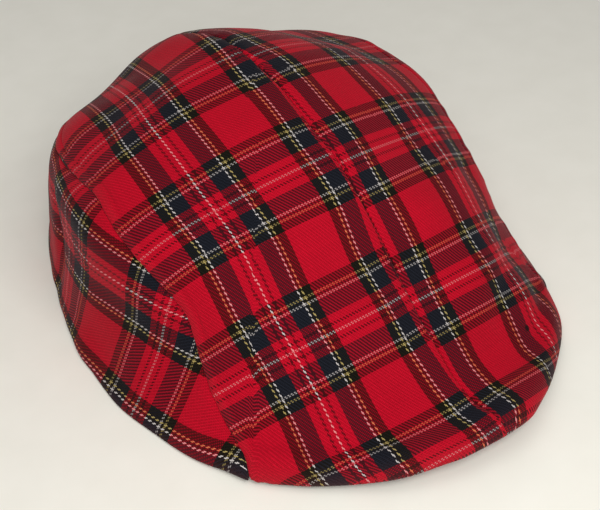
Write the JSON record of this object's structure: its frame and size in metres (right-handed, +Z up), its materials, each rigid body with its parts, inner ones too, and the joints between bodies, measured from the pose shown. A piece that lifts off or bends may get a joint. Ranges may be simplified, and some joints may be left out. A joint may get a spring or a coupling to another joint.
{
  "type": "flat cap",
  "caption": "Flat cap of tartan cloth: low rounded crown running on over a short stiff peak, side panels round the head opening.",
  "frame": {"origin": "middle of the cap's footprint, on the surface that it rests on", "axes": "-Y the way the peak points, +Z up, +X to the wearer's left"},
  "size_m": [0.1802, 0.231, 0.0917],
  "materials": {
    "cloth": "matte twill, red tartan",
    "peak_cloth": "matte twill, red tartan"
  },
  "bodies": {
    "root": {"top_left": "cloth", "top_right": "cloth", "side_left": "cloth", "side_right": "cloth", "peak": "peak_cloth"}
  },
  "joints": []
}
